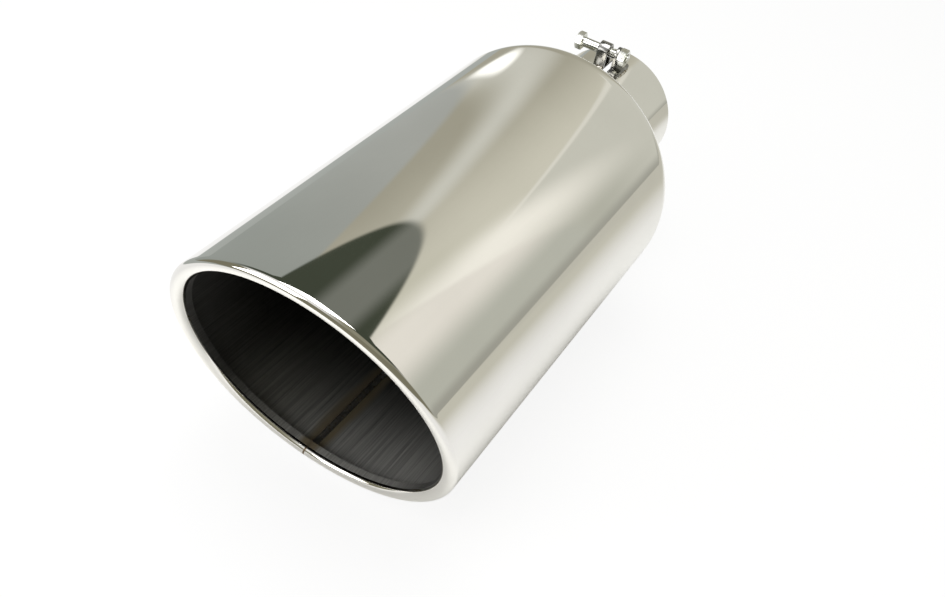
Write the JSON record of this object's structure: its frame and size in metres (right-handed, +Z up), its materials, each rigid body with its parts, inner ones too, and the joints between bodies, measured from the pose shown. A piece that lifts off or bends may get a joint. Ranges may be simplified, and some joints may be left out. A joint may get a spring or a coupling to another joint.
{
  "type": "exhaust tip",
  "caption": "Bolt-on truck exhaust tip: wide polished steel tube with a rolled, slanted lip, rounded shoulder and a slotted inlet neck closed by a bolt clamp.",
  "frame": {"origin": "centre of the inlet end, where the tailpipe enters the neck", "axes": "+Y along the tube towards the tailpipe, so the outlet faces -Y; +Z up through the clamp and the long side of the slanted mouth; +X to the right seen from the outlet with the clamp up"},
  "size_m": [0.2, 0.464, 0.2],
  "materials": {
    "polished_stainless": "mirror-polished stainless sheet outside, plain mill finish inside",
    "lug_stainless": "plain bent stainless strip with welded feet",
    "bolt_steel": "bright plated bolt and nut"
  },
  "bodies": {
    "root": {"tip_shell": "polished_stainless", "strap_lug": "lug_stainless", "eared_lug": "lug_stainless", "clamp_bolt": "bolt_steel", "clamp_nut": "bolt_steel"}
  },
  "joints": []
}
